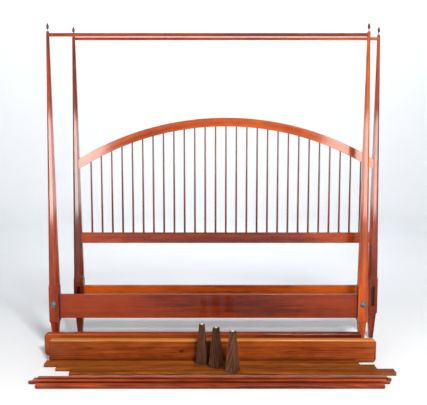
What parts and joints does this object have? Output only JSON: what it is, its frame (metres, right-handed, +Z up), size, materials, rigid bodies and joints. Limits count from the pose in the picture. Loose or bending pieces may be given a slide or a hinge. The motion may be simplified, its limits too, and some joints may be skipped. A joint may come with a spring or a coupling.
{
  "type": "canopy bed",
  "caption": "Pencil-post canopy bed taken apart: arched spindle head frame and foot frame standing together, with side rails, slats, centre legs and canopy rods laid in front.",
  "frame": {"origin": "on the floor, at the centre of the layout's footprint", "axes": "+Z up, +X to the right along the frames, +Y from the loose pieces towards the head frame"},
  "size_m": [2.184, 0.9264, 2.094],
  "materials": {
    "cherry_frame": "satin lacquer",
    "cherry_turned": "satin lacquer",
    "cherry_side_rail": "satin lacquer",
    "cherry_rod": "satin lacquer",
    "cleat_wood": "unfinished",
    "slat_wood": "oiled",
    "leg_walnut": "matt",
    "pewter": "satin",
    "bolt_steel": "oiled",
    "zinc_steel": "plated",
    "glide_plastic": "moulded"
  },
  "bodies": {
    "frames": {"bolt_washers": "bolt_steel", "cover_pins": "zinc_steel", "foot_post_left": "cherry_frame", "foot_post_right": "cherry_frame", "foot_rail": "cherry_frame", "foot_tester_rail": "cherry_frame", "head_crest_rail": "cherry_frame", "head_post_left": "cherry_frame", "head_post_right": "cherry_frame", "head_rail": "cherry_frame", "head_spindle_rail": "cherry_frame", "head_tester_rail": "cherry_frame", "post_glides": "glide_plastic", "spindles_1": "cherry_turned", "spindles_2": "cherry_turned", "spindles_3": "cherry_turned", "spindles_4": "cherry_turned", "spindles_5": "cherry_turned", "spindles_6": "cherry_turned", "spindles_7": "cherry_turned", "spindles_8": "cherry_turned", "spindles_9": "cherry_turned", "tester_pins": "zinc_steel"},
    "foot_cover_left": {"foot_bolt_cover_left": "pewter"},
    "foot_bolt_left": {"foot_bed_bolt_left": "bolt_steel"},
    "foot_finial_left_body": {"foot_finial_left": "cherry_turned"},
    "foot_cover_right": {"foot_bolt_cover_right": "pewter"},
    "foot_bolt_right": {"foot_bed_bolt_right": "bolt_steel"},
    "foot_finial_right_body": {"foot_finial_right": "cherry_turned"},
    "head_cover_left": {"head_bolt_cover_left": "pewter"},
    "head_bolt_left": {"head_bed_bolt_left": "bolt_steel"},
    "head_finial_left_body": {"head_finial_left": "cherry_turned"},
    "head_cover_right": {"head_bolt_cover_right": "pewter"},
    "head_bolt_right": {"head_bed_bolt_right": "bolt_steel"},
    "head_finial_right_body": {"head_finial_right": "cherry_turned"},
    "side_rail_rear_body": {"side_rail_rear": "cherry_side_rail", "cleat_rear": "cleat_wood", "cleat_screws_rear": "zinc_steel", "thread_inserts_rear": "zinc_steel"},
    "side_rail_front_body": {"side_rail_front": "cherry_side_rail", "cleat_front": "cleat_wood", "cleat_screws_front": "zinc_steel", "thread_inserts_front": "zinc_steel"},
    "slat_front_body": {"slat_front": "slat_wood"},
    "slat_leg_front_body": {"slat_leg_front": "leg_walnut", "leg_bolt_front": "zinc_steel", "leg_glide_front": "glide_plastic"},
    "slat_middle_body": {"slat_middle": "slat_wood"},
    "slat_leg_middle_body": {"slat_leg_middle": "leg_walnut", "leg_bolt_middle": "zinc_steel", "leg_glide_middle": "glide_plastic"},
    "slat_rear_body": {"slat_rear": "slat_wood", "slat_leg_rear": "leg_walnut", "leg_bolt_rear": "zinc_steel", "leg_glide_rear": "glide_plastic"},
    "tester_side_rear_body": {"tester_side_rear": "cherry_rod", "tester_side_pins_rear": "zinc_steel"},
    "tester_side_middle_body": {"tester_side_middle": "cherry_rod", "tester_side_pins_middle": "zinc_steel"},
    "tester_cross_body": {"tester_cross_bar": "cherry_rod"}
  },
  "joints": [
    {"name": "foot_cover_left_swing", "type": "hinge", "parent": "frames", "child": "foot_cover_left", "pos_m": [-1.0555, 0.18, 0.316], "axis": [0, 1, 0], "range_deg": [-120, 120]},
    {"name": "foot_bolt_left_turn", "type": "hinge", "parent": "frames", "child": "foot_bolt_left", "pos_m": [-1.0555, 0.213, 0.3], "axis": [0, 1, 0], "continuous": true},
    {"name": "foot_finial_left_lift", "type": "slide", "parent": "frames", "child": "foot_finial_left_body", "axis": [0, 0, 1], "range_m": [0, 0.04]},
    {"name": "foot_cover_right_swing", "type": "hinge", "parent": "frames", "child": "foot_cover_right", "pos_m": [0.9445, 0.18, 0.316], "axis": [0, 1, 0], "range_deg": [-120, 120]},
    {"name": "foot_bolt_right_turn", "type": "hinge", "parent": "frames", "child": "foot_bolt_right", "pos_m": [0.9445, 0.213, 0.3], "axis": [0, 1, 0], "continuous": true},
    {"name": "foot_finial_right_lift", "type": "slide", "parent": "frames", "child": "foot_finial_right_body", "axis": [0, 0, 1], "range_m": [0, 0.04]},
    {"name": "head_cover_left_swing", "type": "hinge", "parent": "frames", "child": "head_cover_left", "pos_m": [-0.94, 0.457, 0.316], "axis": [0, 1, 0], "range_deg": [-120, 120]},
    {"name": "head_bolt_left_turn", "type": "hinge", "parent": "frames", "child": "head_bolt_left", "pos_m": [-0.94, 0.424, 0.3], "axis": [0, 1, 0], "continuous": true},
    {"name": "head_finial_left_lift", "type": "slide", "parent": "frames", "child": "head_finial_left_body", "axis": [0, 0, 1], "range_m": [0, 0.04]},
    {"name": "head_cover_right_swing", "type": "hinge", "parent": "frames", "child": "head_cover_right", "pos_m": [1.06, 0.457, 0.316], "axis": [0, 1, 0], "range_deg": [-120, 120]},
    {"name": "head_bolt_right_turn", "type": "hinge", "parent": "frames", "child": "head_bolt_right", "pos_m": [1.06, 0.424, 0.3], "axis": [0, 1, 0], "continuous": true},
    {"name": "head_finial_right_lift", "type": "slide", "parent": "frames", "child": "head_finial_right_body", "axis": [0, 0, 1], "range_m": [0, 0.04]},
    {"name": "side_rail_rear_lift", "type": "slide", "parent": "frames", "child": "side_rail_rear_body", "axis": [0, 0, 1], "range_m": [0, 0.3]},
    {"name": "side_rail_front_lift", "type": "slide", "parent": "frames", "child": "side_rail_front_body", "axis": [0, 0, 1], "range_m": [0, 0.3]},
    {"name": "slat_front_lift", "type": "slide", "parent": "frames", "child": "slat_front_body", "axis": [0, 0, 1], "range_m": [0, 0.3]},
    {"name": "slat_leg_front_turn", "type": "hinge", "parent": "slat_front_body", "child": "slat_leg_front_body", "pos_m": [0.088, -0.24, 0.019], "axis": [0, 0, 1], "continuous": true},
    {"name": "slat_middle_lift", "type": "slide", "parent": "frames", "child": "slat_middle_body", "axis": [0, 0, 1], "range_m": [0, 0.3]},
    {"name": "slat_leg_middle_turn", "type": "hinge", "parent": "slat_middle_body", "child": "slat_leg_middle_body", "pos_m": [-0.008, -0.1705, 0.019], "axis": [0, 0, 1], "continuous": true},
    {"name": "slat_rear_lift", "type": "slide", "parent": "frames", "child": "slat_rear_body", "axis": [0, 0, 1], "range_m": [0, 0.3]},
    {"name": "tester_side_rear_lift", "type": "slide", "parent": "frames", "child": "tester_side_rear_body", "axis": [0, 0, 1], "range_m": [0, 0.3]},
    {"name": "tester_side_middle_lift", "type": "slide", "parent": "frames", "child": "tester_side_middle_body", "axis": [0, 0, 1], "range_m": [0, 0.3]},
    {"name": "tester_cross_lift", "type": "slide", "parent": "frames", "child": "tester_cross_body", "axis": [0, 0, 1], "range_m": [0, 0.3]}
  ],
  "couplings": [
    {"joint": "slat_middle_lift", "follows": "slat_front_lift", "ratio": 1},
    {"joint": "slat_rear_lift", "follows": "slat_front_lift", "ratio": 1}
  ]
}
